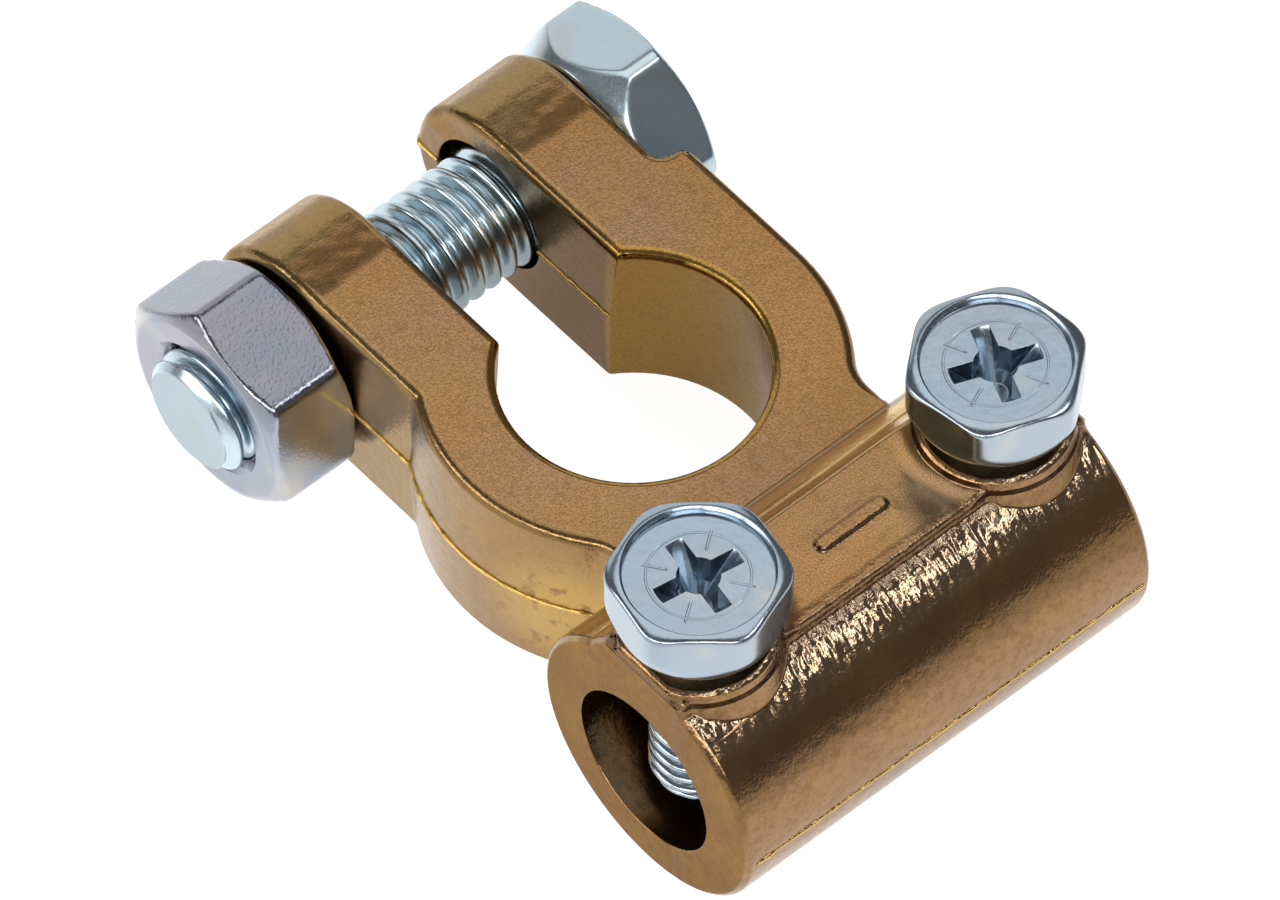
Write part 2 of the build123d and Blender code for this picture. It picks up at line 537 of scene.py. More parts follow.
@dataclass(frozen=True)
class CastBrass:
    """Cast brass: sanded flats, drafted walls, a chattered barrel crown and soft hollows by the bosses.

    A mask's limits each give an axis, where the mask starts and where it is whole on it, and at times
    its strengths there. A place is in metres, and up and sideways are parts of the face's direction.
    """

    name: str = "cast_brass"
    grain_per_mm: float = 8.0
    flat_colour: Colour = (0.41, 0.225, 0.095, 1.0)
    pale_colour: Colour = (0.38, 0.235, 0.125, 1.0)
    wall_colour: Colour = (0.33, 0.215, 0.09, 1.0)
    recess_colour: Colour = (0.4, 0.235, 0.055, 1.0)
    # A dark brown for real speckle, blotches and stains, and also for painted shade in the slot, on the
    # ring's walls and on the flats near the slope.
    stain_and_shade_colour: Colour = (0.19, 0.1, 0.04, 1.0)
    worn_colour: Colour = (0.62, 0.4, 0.12, 1.0)
    barrel_colour: Colour = (0.28, 0.165, 0.085, 1.0)
    # A paler colour on the crown: a painted highlight that whitens its glints.
    crown_highlight_colour: Colour = (0.36, 0.26, 0.17, 1.0)
    # A bright yellow on the slope behind the pad: a painted highlight.
    slope_highlight_colour: Colour = (0.72, 0.5, 0.2, 1.0)
    # A darker colour, and a grey tint of reflections, on the barrel's end faces: painted shade.
    end_shade_colour: Colour = (0.24, 0.14, 0.05, 1.0)
    end_shade_tint: Colour = (0.66, 0.6, 0.57, 1.0)
    pale_patches: Cloud = Cloud(0.12, 2.0)
    yellow_patches: Cloud = Cloud(0.25, 3.0, 0.5, (0.4, 0.75), 0.3)
    dark_blotches: Cloud = Cloud(0.8, 4.0, 0.65, (0.52, 0.72), 0.3)
    neck_stains: Cloud = Cloud(0.9, 3.0, 0.6, (0.52, 0.66), 0.7)
    barrel_flecks: Cloud = Cloud(1.5, 5.0, 0.75, (0.46, 0.62), 0.6)
    speckle_levels: Band = (0.15, 0.95)
    speckle_strength: float = 0.34
    roughness: Band = (0.16, 0.26)
    crown_polish: float = 0.55
    flat: Mask = (("up", 0.985, 0.998),)
    barrel: Mask = (("y", *mm(-12.6, -13.4)),)
    barrel_low: Mask = (("up", 0.66, 0.5),)
    end_face: Mask = (("aside", *mm(14.8, 15.2)), ("sideways", 0.7, 0.95))
    # The slot and ring masks carry a painted shade: strongest low in the slot, weaker on the ring's outer
    # walls.
    slot: Mask = (("aside", *mm(5.2, 4.8)), ("y", *mm(7.4, 7.9)), ("z", *mm(6.8, 6.2), (0.45, 0.8)))
    ring: Mask = (("y", *mm(6.0, 2.0), (0.0, 0.3)), ("y", *mm(-13.0, -12.0)))
    # Where the slope behind the pad gets its painted highlight.
    behind: Mask = (
        ("y", *mm(-15.6, -15.2)), ("y", *mm(-12.0, -12.6)), ("z", *mm(8.0, 10.0)), ("sideways", 0.45, 0.25),
    )
    behind_fade: Band = (0.8, 0.0)
    # Where the flats get a painted shade towards the slope.
    towards: Mask = (("y", *mm(-6.0, -10.5), (0.0, 0.22)), ("y", *mm(-13.0, -12.5)))
    crown_start: Mask = (("y", *mm(-21.6, -22.6)),)
    crown_slope: Mask = (("up", 0.7, 0.84), ("up", 0.97, 0.93))
    neck_sides: Mask = (("aside", *mm(14.4, 13.8)),)
    neck_patch: tuple = mm(-11.4, -7.4, 5.5)
    neck_edge: Band = mm(7.0, 2.1)
    neck_strength: float = 0.75
    bore_edge: Band = mm(9.1, 8.9)
    ring_outside: Band = mm(11.0, 12.0)
    chatter_height: float = 0.17
    chatter_noise: Band = (2.1, 0.7)
    chatter_stretch: tuple = (1.0, 0.42, 0.42)
    ear_fall: float = 0.4
    ear_tip: Band = mm(15.6, 19.2)
    ear_noise: Band = (0.6, 1.0)
    ear_levels: Band = (0.3, 0.7)
    ear_ragged: Band = mm(-0.1, 0.1)
    ear_top: Mask = (("z", *mm(9.0, 11.5)),)
    bowl_depth: float = 0.5
    bowl_edge: Band = mm(4.7, 6.4)
    bowl_floor: Mask = (("z", *mm(16.3, 16.7)),)
    grain_height: float = 0.008
    skin_height: float = 0.03
    skin_on_flats: float = 0.35
    skin_noise: tuple = (1.1, 4.0, 0.6)
    skin_fade: Band = (1.0, 0.2)
    barrel_skin: float = 0.7
    ear_skin: float = 0.5
    ear_end: Mask = (("y", *mm(15.8, 17.4)),)
    edge_skin: float = 5.0
    pad_edge: Mask = (("y", *mm(-21.3, -21.9)), ("y", *mm(-23.2, -22.6)))
    bar_skin: float = 0.5
    bar: Mask = (("aside", *mm(3.7, 2.9)), ("y", *mm(-20.4, -19.6)), ("y", *mm(-17.4, -18.2)))

    def crown(self, w: Metal) -> Socket:
        """The share of the chattered band on the front of the barrel's crown."""
        return w.times(w.mask(self.crown_start), w.mask(self.crown_slope))

    def chatter(self, w: Metal, crown: Socket) -> Socket:
        """Short ribs that run across the barrel's crown.

        Args:
            w: The material's wires.
            crown: The share of the chattered band.

        Returns:
            The ribs' height in millimetres.
        """
        given = {"Vector": w.place, "Scale": self.chatter_stretch}
        ribs = w.noise(w.fed("ShaderNodeMapping", given).outputs[0], *self.chatter_noise)
        return w.times(ribs, crown, self.chatter_height)

    def ear_crown(self, w: Metal) -> Socket:
        """The gentle fall of each ear's flat before its round tip.

        Args:
            w: The material's wires.

        Returns:
            The fall in millimetres.
        """
        noise = w.noise(w.place, *self.ear_noise)
        ragged = w.plus(w.y, w.steady(noise, *self.ear_levels, self.ear_ragged))
        fall = w.ramp(ragged, *self.ear_tip, (0.0, self.ear_fall))
        return w.times(fall, w.mask(self.ear_top))

    def bowls(self, w: Metal) -> Socket:
        """The soft hollow in which each boss rises from the pad.

        Args:
            w: The material's wires.

        Returns:
            The hollows' height in millimetres.
        """
        reach = w.length(w.minus(w.aside, SCREW_OFFSET), w.minus(w.y, SCREW_LINE))
        near = w.steady(reach, *self.bowl_edge, (1.0, 0.0))
        return w.times(w.math("POWER", near, 2.0), self.bowl_depth, w.mask(self.bowl_floor))

    def colour(self, w: Metal, flat: Socket, barrel: Socket, crown: Socket, end_face: Socket) -> Socket:
        """Lays the casting's colours over each other.

        Args:
            w: The material's wires.
            flat: The share of the sanded flats.
            barrel: The share of the barrel.
            crown: The share of its chattered band.
            end_face: The share of its end faces.

        Returns:
            The base colour.
        """
        wall = w.mix(barrel, self.wall_colour, self.barrel_colour)
        sanded = w.mix(self.pale_patches.on(w), self.flat_colour, self.pale_colour)
        unsanded = w.ramp(flat, 1.0, 0.0)
        reach = w.length(w.x, w.y)
        speckle = w.ramp(w.speckle, *self.speckle_levels, (0.0, self.speckle_strength))
        bore = w.times(w.ramp(reach, *self.bore_edge), unsanded)
        from_neck = w.node("ShaderNodeVectorMath", operation="DISTANCE")
        w.put(w.place, from_neck.inputs[0])
        w.put(self.neck_patch, from_neck.inputs[1])
        neck = w.ramp(from_neck.outputs["Value"], *self.neck_edge)
        neck = w.times(neck, unsanded, w.mask(self.neck_sides))
        slot = w.times(w.mask(self.slot), unsanded)
        ring = w.times(w.mask(self.ring), w.ramp(reach, *self.ring_outside), unsanded)
        behind = w.times(w.mask(self.behind), w.ramp(flat, *self.behind_fade))
        towards = w.times(w.mask(self.towards), flat)
        low = w.times(barrel, w.mask(self.barrel_low))
        worn = w.node("ShaderNodeAttribute", attribute_name=WORN).outputs["Fac"]
        colour = w.mix(flat, wall, sanded)
        for share, layer in (
            # The barrel's end faces get a painted shade.
            (end_face, self.end_shade_colour),
            # The bore and the hollows by the neck keep the yellower skin of the casting.
            (bore, self.recess_colour),
            (speckle, self.stain_and_shade_colour),
            (self.yellow_patches.on(w), self.recess_colour),
            (self.dark_blotches.on(w), self.stain_and_shade_colour),
            # A yellow patch with dark stains lies where the ring meets the neck.
            (w.times(neck, self.neck_strength), self.worn_colour),
            (w.times(neck, self.neck_stains.on(w)), self.stain_and_shade_colour),
            # Painted shade: the slot is darkened, darkest low down, and so are the ring's walls at the
            # rear.
            (slot, self.stain_and_shade_colour),
            (ring, self.stain_and_shade_colour),
            # Painted highlight: the slope behind the pad gets a bright yellow, and a painted shade darkens
            # the flats a little towards it.
            (behind, self.slope_highlight_colour),
            (towards, self.stain_and_shade_colour),
            # Painted highlight: the crown gets a paler colour that whitens its glints, and the barrel below
            # it has dark flecks.
            (crown, self.crown_highlight_colour),
            (w.times(self.barrel_flecks.on(w), low), self.stain_and_shade_colour),
            # The ridge of the parting is worn bright.
            (worn, self.worn_colour),
        ):
            colour = w.mix(share, colour, layer)
        return colour

    def skin(self, w: Metal, flat: Socket, barrel: Socket) -> Socket:
        """The height of the cast skin: smooth on the flats, rough on the barrel and at worn places.

        Args:
            w: The material's wires.
            flat: The share of the sanded flats.
            barrel: The share of the barrel.

        Returns:
            The height in millimetres.
        """
        swell = w.noise(w.place, *self.skin_noise)
        bar = w.times(w.mask(self.bar), self.bar_skin)
        share = w.plus(w.ramp(flat, *self.skin_fade), w.times(barrel, self.barrel_skin))
        share = w.plus(share, w.times(w.mask(self.ear_end), self.ear_skin))
        share = w.plus(share, w.times(w.math("MAXIMUM", w.mask(self.pad_edge), bar), self.edge_skin))
        heights = (self.skin_height, self.skin_height * self.skin_on_flats)
        return w.times(swell, w.times(share, w.ramp(flat, 0.0, 1.0, heights)))

    def make(self, grain: NodeTree) -> Material:
        """Builds the material.

        Args:
            grain: The shared grain group.

        Returns:
            The material.
        """
        w = Metal(self.name, grain, self.grain_per_mm)
        flat, barrel, crown = w.mask(self.flat), w.mask(self.barrel), self.crown(w)
        end_face = w.mask(self.end_face)
        # Painted shade: the end faces' reflections are dimmed by a grey tint.
        w.put(w.mix(end_face, WHITE, self.end_shade_tint), w.shader["Specular Tint"])
        rough = w.ramp(w.speckle, 0.0, 1.0, self.roughness)
        rough = w.times(rough, w.ramp(crown, 0.0, 1.0, (1.0, self.crown_polish)))
        height = w.plus(w.times(w.grain, self.grain_height), self.skin(w, flat, barrel))
        height = w.plus(w.minus(height, self.ear_crown(w)), self.chatter(w, crown), self.bowls(w))
        return w.finished(self.colour(w, flat, barrel, crown, end_face), rough, height)


@dataclass(frozen=True)
class ZincPlate:
    """Bright zinc plating on steel, smooth or lumpy, with a faint play of colour."""

    name: str
    colour: Colour
    tint: Colour
    warm: Colour = (0.52, 0.51, 0.44, 1.0)
    tint_patches: Cloud = Cloud(0.18, 2.0, 0.5, (0.4, 0.65))
    warm_patches: Cloud = Cloud(0.3, 1.0, 0.5, (0.55, 0.8), 0.6)
    roughness: float = 0.16
    roughness_spread: float = 0.06
    grain_per_mm: float = 9.0
    grain_height: float = 0.0012
    lump_height: float = 0.03
    lumps_per_mm: float = 1.1
    lump_detail: float = 1.5
    lumps_on_sides: float = 0.25
    lump_up: Band = (0.2, 0.75)
    top_shade: float = 0.0
    top_up: Band = (0.2, 0.7)
    end_shade: float = 0.0
    end_sideways: Band = (0.9, 0.97)
    recess_turns: tuple = ()
    mark_depth: float = 0.035
    wing_to_tick: float = 45.0
    tick_reach: Band = mm(1.9, 3.3)
    tick_blur: float = 0.1 * MM
    tick_width: Band = mm(0.1, 0.04)
    circle_radius: float = 3.05 * MM
    circle_width: Band = mm(0.09, 0.04)
    circle_share: float = 0.5
    below_dish: Band = mm(-0.05, -0.02)

    def struck_marks(self, w: Metal) -> Socket:
        """The scored circle and the four ticks that lie between the wings of each head's recess.

        Args:
            w: The material's wires.

        Returns:
            The marks' depth in millimetres.
        """
        right = w.math("GREATER_THAN", w.x, 0.0)
        across = w.minus(w.x, w.steady(right, 0.0, 1.0, (-SCREW_OFFSET, SCREW_OFFSET)))
        along = w.minus(w.y, SCREW_LINE)
        reach = w.length(across, along)
        turns = tuple(radians(turn + self.wing_to_tick) for turn in self.recess_turns)
        angle = w.minus(w.math("ARCTAN2", along, across), w.steady(right, 0.0, 1.0, turns))
        from_tick = w.size(w.math("WRAP", angle, pi / 4, -pi / 4))
        start, end = self.tick_reach
        tick = w.times(
            w.ramp(w.times(from_tick, reach), *self.tick_width),
            w.ramp(reach, start - self.tick_blur, start + self.tick_blur),
            w.ramp(reach, end + self.tick_blur, end - self.tick_blur),
        )
        from_circle = w.size(w.minus(reach, self.circle_radius))
        circle = w.times(w.ramp(from_circle, *self.circle_width), self.circle_share)
        on_dish = w.ramp(w.z, *(SCREW_DISH + below for below in self.below_dish))
        return w.times(w.math("MAXIMUM", tick, circle), on_dish, self.mark_depth)

    def make(self, grain: NodeTree) -> Material:
        """Builds the material.

        Args:
            grain: The shared grain group.

        Returns:
            The material.
        """
        w = Metal(self.name, grain, self.grain_per_mm)
        # Painted shade: faces that look up, by top_shade, and end faces, by end_shade, are mixed towards
        # black.
        top = w.ramp(w.up, *self.top_up, (0.0, self.top_shade))
        end = w.ramp(w.sideways, *self.end_sideways, (0.0, self.end_shade))
        colour = w.mix(self.tint_patches.on(w), self.colour, self.tint)
        colour = w.mix(self.warm_patches.on(w), colour, self.warm)
        colour = w.mix(w.math("MAXIMUM", top, end), colour, BLACK)
        rough = w.ramp(w.speckle, 0.0, 1.0, (self.roughness, self.roughness + self.roughness_spread))
        heights = (self.lump_height * self.lumps_on_sides, self.lump_height)
        lumps = w.noise(w.place, self.lumps_per_mm, self.lump_detail)
        lumps = w.times(lumps, w.ramp(w.up, *self.lump_up, heights))
        height = w.plus(lumps, w.times(w.grain, self.grain_height))
        if self.recess_turns:
            height = w.minus(height, self.struck_marks(w))
        return w.finished(colour, rough, height)


@dataclass(frozen=True)
class PaleFloor:
    """A plain, nearly white floor with a glow of its own, which the metal sees less of."""

    colour: Colour = (0.85, 0.85, 0.85, 1.0)
    clear_colour: Colour = (0.3, 0.3, 0.3, 1.0)
    roughness: float = 0.9
    shine: float = 0.1
    glow: float = 0.94
    glow_in_metal: float = 0.62
    widening: float = 2.0
    # A painted shadow in the floor's glow right under the clamp, as the metal sees it.
    painted_shadow_band: Band = mm(12.0, 30.0)
    painted_shadow_glow: Band = (0.5, 1.0)
    far_band: Band = mm(54.0, 90.0)
    far_glow: Band = (1.0, 0.1)

    def make(self) -> Material:
        """Builds the material.

        Returns:
            The material.
        """
        material = bpy.data.materials.new("pale_floor")
        material.use_nodes = True
        w = Wires(material.node_tree)
        # Painted shadow: the metal sees the floor's glow dim right under the clamp, and dim again far off.
        x, y, _ = w.split(w.node("ShaderNodeTexCoord").outputs["Object"])
        reach = w.length(w.times(x, self.widening), y)
        near = w.ramp(reach, *self.painted_shadow_band, self.painted_shadow_glow)
        far = w.ramp(reach, *self.far_band, self.far_glow)
        blend = w.node("ShaderNodeMixShader")
        w.put(w.node("ShaderNodeLightPath").outputs["Is Camera Ray"], blend.inputs[0])
        for socket, shader, glow, colour in (
            (1, w.tree.nodes["Principled BSDF"], w.times(near, far, self.glow_in_metal), self.colour),
            (2, w.node("ShaderNodeBsdfPrincipled"), self.glow, self.clear_colour),
        ):
            for name, value in (
                ("Base Color", colour),
                ("Roughness", self.roughness),
                ("Specular IOR Level", self.shine),
                ("Emission Color", WHITE),
                ("Emission Strength", glow),
            ):
                w.put(value, shader.inputs[name])
            w.put(shader.outputs[0], blend.inputs[socket])
        w.put(blend.outputs[0], w.tree.nodes["Material Output"].inputs["Surface"])
        return material


@dataclass
class Thread:
    """A screw thread on a plain shank, made by Geometry Nodes and turned to lie along an axis."""

    name: str
    major_radius: float
    pitch: float
    depth: float
    length: float
    tip_radius: float
    tip_length: float
    flank: Band = (0.08, 0.82)
    around: int = 64
    steps_a_turn: int = 12

    def sizes(self) -> dict[str, float]:
        """The node tree's inputs by name."""
        names = ("major_radius", "pitch", "depth", "length", "tip_radius", "tip_length")
        return {name.replace("_", " "): getattr(self, name) for name in names}

    def tree(self, material: Material) -> NodeTree:
        """The node tree: a fine cylinder, each vertex set to the thread's radius at its angle and height.

        Args:
            material: The material that the thread gets.

        Returns:
            The Geometry Nodes tree.
        """
        w = geometry_tree(self.name + "_thread", *self.sizes())
        major, pitch, depth, length, tip_radius, tip_length = w.node("NodeGroupInput").outputs[1:7]
        rod = {
            "Vertices": self.around,
            "Side Segments": int(self.length / self.pitch * self.steps_a_turn),
            "Radius": major,
            "Depth": length,
        }
        mesh = w.fed("GeometryNodeMeshCylinder", rod, fill_type="NGON").outputs["Mesh"]
        x, y, z = w.split(w.node("GeometryNodeInputPosition").outputs[0])
        turn = w.over(w.math("ARCTAN2", y, x), 2 * pi)
        # The phase stays above zero, so that its fraction rises all along the shank.
        phase = w.math("FRACT", w.plus(w.minus(w.over(z, pitch), turn), 100.0))
        rise = w.size(w.minus(w.times(phase, 2.0), 1.0))
        # The root is rounded and the crest is a narrow flat.
        radius = w.plus(w.minus(major, depth), w.times(w.ramp(rise, *self.flank), depth))
        # The tip's chamfer caps the radius near the free end.
        half = w.over(length, 2.0)
        slope = w.times(w.over(w.plus(z, half), tip_length), w.minus(major, tip_radius))
        scale = w.over(w.math("MINIMUM", radius, w.plus(tip_radius, slope)), major)
        spread = w.joined(w.times(x, scale), w.times(y, scale), w.minus(z, half))
        return w.dressed(w.moved(mesh, Position=spread), material)

    def make(self, seat: Matrix, material: Material) -> Object:
        """Builds the threaded shank, from its head's seat down to its free end.

        Args:
            seat: The place and turn of the head's underside.
            material: The shank's material.

        Returns:
            The plain mesh object, its place in its mesh.
        """
        shank = grown(self.name, bpy.data.meshes.new(self.name), self.tree(material), self.sizes())
        shank.data.transform(seat)
        for polygon in shank.data.polygons:
            polygon.use_smooth = len(polygon.vertices) == 4
        return shank


@dataclass
class FlashRidge:
    """The thin ragged ridge that the mould's parting leaves, swept along the parting line."""

    material: Material
    width: float = 0.17 * MM
    raggedness: float = 0.1 * MM
    step: float = 0.2 * MM
    waves_per_mm: float = 1.1
    notches_per_mm: float = 1.6
    notch_levels: Band = (0.3, 0.65)
    thickness: Band = (0.6, 1.0)
    barrel_height: float = 6.85 * MM
    barrel_half_length: float = 15.0 * MM
    barrel_sink: float = 0.05 * MM
    slot_wall: float = 4.7 * MM
    slot_start: float = 7.0 * MM
    hole_reach: float = 5.0 * MM
    neck_end: float = -12.2 * MM
    lengthwise: float = 0.95
    crosswise: float = 0.9

    def parting_line(self) -> Mesh:
        """The parting line on the ring, the arms and the slot's walls, and along the barrel's front.

        Returns:
            A mesh of edges.
        """
        bm = merged_copy("clamp_body")
        cut = bmesh.ops.bisect_plane(
            bm,
            geom=bm.verts[:] + bm.edges[:] + bm.faces[:],
            plane_co=(0, 0, PARTING_HEIGHT),
            plane_no=(0, 0, 1),
        )
        line = bmesh.new()
        corners: dict[tuple[float, float], BMVert] = {}
        for edge in cut["geom_cut"]:
            if isinstance(edge, BMEdge) and self.is_parting(edge):
                ends = []
                for vert in edge.verts:
                    key = (round(vert.co.x / MM, 2), round(vert.co.y / MM, 2))
                    if key not in corners:
                        corners[key] = line.verts.new(vert.co)
                    ends.append(corners[key])
                if ends[0] is not ends[1]:
                    line.edges.new(ends)
        front = BARREL_AXIS.y - (BARREL_RADIUS**2 - (self.barrel_height - BARREL_AXIS.z) ** 2) ** 0.5
        front += self.barrel_sink
        reach = self.barrel_half_length
        line.edges.new([line.verts.new((x, front, self.barrel_height)) for x in (-reach, reach)])
        bm.free()
        return mesh_from(line, "parting_line")

    def is_parting(self, edge: BMEdge) -> bool:
        """Whether a cut edge lies on an outer or slot wall, and not in a hole or on the barrel's ends.

        Args:
            edge: The edge.

        Returns:
            True where the ridge follows it.
        """
        middle = (edge.verts[0].co + edge.verts[1].co) / 2
        along = (edge.verts[1].co - edge.verts[0].co).normalized()
        in_slot = abs(middle.x) < self.slot_wall and middle.y > self.slot_start
        on_slot = in_slot and abs(along.y) > self.lengthwise
        in_bore = middle.xy.length < BORE_REACH and not on_slot
        near_bolt = abs(middle.y - EAR_REACH) < self.hole_reach and abs(along.x) > self.crosswise
        on_end = abs(middle.x) > self.barrel_half_length
        return not (in_bore or near_bolt or on_end) and middle.y > self.neck_end

    def tree(self) -> NodeTree:
        """The node tree: edges to curves, a ragged line, and a round of ragged width swept along it.

        Returns:
            The Geometry Nodes tree.
        """
        w = geometry_tree("flash_ridge", "Step", "Width", "Raggedness")
        line, step, width, raggedness = w.node("NodeGroupInput").outputs[0:4]
        curve = w.fed("GeometryNodeMeshToCurve", {"Mesh": line}).outputs[0]
        even = w.fed("GeometryNodeResampleCurve", {"Curve": curve, "Length": step}, mode="LENGTH")
        place = w.node("GeometryNodeInputPosition").outputs[0]
        wave = w.times(w.minus(w.noise(place, self.waves_per_mm), 0.5), raggedness)
        ragged = w.moved(even.outputs[0], Offset=w.joined(0.0, 0.0, wave))
        thick = w.ramp(w.noise(place, self.notches_per_mm, 2.0, 0.6), *self.notch_levels, self.thickness)
        profile = w.fed("GeometryNodeCurvePrimitiveCircle", {"Resolution": 8, "Radius": 1.0})
        swept = w.fed("GeometryNodeCurveToMesh", {
            "Curve": ragged,
            "Profile Curve": profile.outputs["Curve"],
            "Scale": w.times(thick, width),
            "Fill Caps": True,
        })
        mark = {"Geometry": swept.outputs[0], "Name": WORN, "Value": 1.0}
        marked = w.fed("GeometryNodeStoreNamedAttribute", mark, data_type="FLOAT", domain="POINT")
        return w.dressed(marked.outputs[0], self.material)

    def make(self) -> Object:
        """Builds the ridge.

        Returns:
            The plain mesh object.
        """
        sizes = {"Step": self.step, "Width": self.width, "Raggedness": self.raggedness}
        ridge = grown("flash_ridge", self.parting_line(), self.tree(), sizes)
        for polygon in ridge.data.polygons:
            polygon.use_smooth = True
        return ridge


@dataclass
class Casting:
    """The one-piece brass body: its broken edges rounded, with the flash ridge of the mould's parting."""

    material: Material
    edge_round: float = 0.27 * MM
    small_round_share: float = 0.45
    sharp_angle: float = 20.0
    flats: tuple = mm(13.2, 12.8, 0.0)
    flat_reach: float = 0.03 * MM
    neck_end: float = -12.4 * MM
    ear_tip_start: float = 17.0 * MM
    ear_hole_reach: float = 5.5 * MM
    tight_corners: tuple = (mm(9.45, -11.6), mm(15.2, -22.35), mm(10.3, -13.15), mm(13.53, -14.82))
    corner_reach: float = 0.5 * MM

    def round_share(self, edge: BMEdge) -> float:
        """How wide an edge's round is: none at a tight corner, whole on the flats and round the ears.

        Args:
            edge: The edge.

        Returns:
            Its share of the whole round.
        """
        if len(edge.link_faces) != 2 or edge.calc_face_angle(0.0) <= radians(self.sharp_angle):
            return 0.0
        middle = (edge.verts[0].co + edge.verts[1].co) / 2
        spot = Vector((abs(middle.x), middle.y))
        if any((spot - Vector(corner)).length < self.corner_reach for corner in self.tight_corners):
            return 0.0
        from_flat = min(abs(middle.z - height) for height in self.flats)
        on_flat = middle.y > self.neck_end and from_flat < self.flat_reach
        # One width all round the ear's tip, because a step in it folds the wall's face.
        from_bolt = (middle.yz - BOLT_AXIS.yz).length
        on_ear = middle.y > self.ear_tip_start and from_bolt > self.ear_hole_reach
        return 1.0 if on_flat or on_ear else self.small_round_share

    def body(self) -> Object:
        """The casting with every edge rounded.

        Returns:
            The body's object.
        """
        bm = merged_copy("clamp_body")
        shares = bm.edges.layers.float.new("bevel_weight_edge")
        for edge in bm.edges:
            edge[shares] = self.round_share(edge)
        return rounded(
            "casting", bm, self.material, limit_method="WEIGHT", width=self.edge_round, segments=3,
            use_clamp_overlap=False, miter_outer="MITER_ARC",
        )

    def make(self) -> Object:
        """Builds the casting and hangs it on the clamp's body.

        Returns:
            The finished piece.
        """
        piece = join_meshes("casting", [self.body(), FlashRidge(self.material).make()])
        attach(piece, "clamp")
        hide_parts("clamp_body")
        return piece


@dataclass
class RolledHexagon:
    """The outside of a bolt head or nut: a hexagon with rounded corners, coned and rolled at its ends."""

    name: str
    across_flats: float
    height: float
    turn: float
    top_inset: float
    bottom_inset: float
    bottom_angle: float = 30.0
    top_angle: float = 30.0
    roll: float = 0.22 * MM
    corner_cut: float = 0.16 * MM
    blend: float = 0.16 * MM
    inner_top: float = 0.0
    inner_bottom: float = 0.0
    # The share of the path at which it leaves the underside, the lower roll, the side and the upper roll.
    stops: tuple = (0.0, 0.1, 0.25, 0.75, 0.9, 1.0)
    around: int = 240
    steps: int = 60

    def sizes(self) -> dict[str, float]:
        """The node tree's inputs.

        Returns:
            Their values by name.
        """
        apothem = self.across_flats / 2
        return {
            "Apothem": apothem,
            "Height": self.height,
            "Turn": radians(self.turn),
            "Top radius": apothem - self.top_inset,
            "Bottom radius": apothem - self.bottom_inset,
            "Top run": 1.0 / tan(radians(self.top_angle)),
            "Bottom run": 1.0 / tan(radians(self.bottom_angle)),
            "Roll": self.roll,
            "Corner radius": apothem / cos(radians(30)) - self.corner_cut,
            "Blend": self.blend,
            "Inner top": self.inner_top,
            "Inner bottom": self.inner_bottom,
        }

    def tree(self, material: Material) -> NodeTree:
        """The node tree: a fine tube, each vertex set to the hexagon's radius at its angle and height.

        Args:
            material: The material that the hexagon gets.

        Returns:
            The Geometry Nodes tree.
        """
        w = geometry_tree(self.name + "_hexagon", *self.sizes())
        given = w.node("NodeGroupInput").outputs
        blend, roll = given["Blend"], given["Roll"]
        tube = {"Vertices": self.around, "Side Segments": self.steps, "Radius": 1.0, "Depth": 1.0}
        mesh = w.fed("GeometryNodeMeshCylinder", tube, fill_type="NONE").outputs["Mesh"]
        x, y, z = w.split(w.node("GeometryNodeInputPosition").outputs[0])
        path = w.plus(z, 0.5)
        # The path goes out along the underside, round the lower roll, up the side, and back in on top.
        pairs = zip(self.stops, self.stops[1:])
        under, low, side, high, over = (w.steady(path, start, end) for start, end in pairs)
        low_turn, high_turn = w.times(low, pi / 2), w.times(high, pi / 2)
        straight = w.minus(given["Height"], w.times(roll, 2.0))
        height = w.times(roll, w.minus(1.0, w.math("COSINE", low_turn)))
        height = w.plus(height, w.times(side, straight), w.times(roll, w.math("SINE", high_turn)))
        angle = w.minus(w.math("ARCTAN2", y, x), w.plus(given["Turn"], pi / 6))
        radius = w.over(given["Apothem"], w.math("COSINE", w.math("WRAP", angle, pi / 6, -pi / 6)))
        below_top = w.minus(given["Height"], height)
        for limit in (
            given["Corner radius"],
            w.plus(given["Top radius"], w.times(below_top, given["Top run"])),
            w.plus(given["Bottom radius"], w.times(height, given["Bottom run"])),
        ):
            radius = w.math("SMOOTH_MIN", radius, limit, blend)
        lost = w.minus(2.0, w.plus(w.math("SINE", low_turn), w.math("COSINE", high_turn)))
        radius = w.minus(radius, w.times(roll, lost))
        radius = w.steady(under, 0.0, 1.0, (given["Inner bottom"], radius))
        radius = w.steady(over, 0.0, 1.0, (radius, given["Inner top"]))
        spread = w.joined(w.times(x, radius), w.times(y, radius), height)
        return w.dressed(w.moved(mesh, Position=spread), material)

    def make(self, seat: Matrix, material: Material) -> Object:
        """Builds the hexagon on its seat.

        Args:
            seat: The place and turn of its underside.
            material: Its material.

        Returns:
            The plain mesh object.
        """
        hexagon = grown(self.name, bpy.data.meshes.new(self.name), self.tree(material), self.sizes())
        hexagon.data.transform(seat)
        bm = bmesh.new()
        bm.from_mesh(hexagon.data)
        bmesh.ops.remove_doubles(bm, verts=bm.verts, dist=0.001 * MM)
        for face in bm.faces:
            face.smooth = True
        bm.to_mesh(hexagon.data)
        bm.free()
        return hexagon


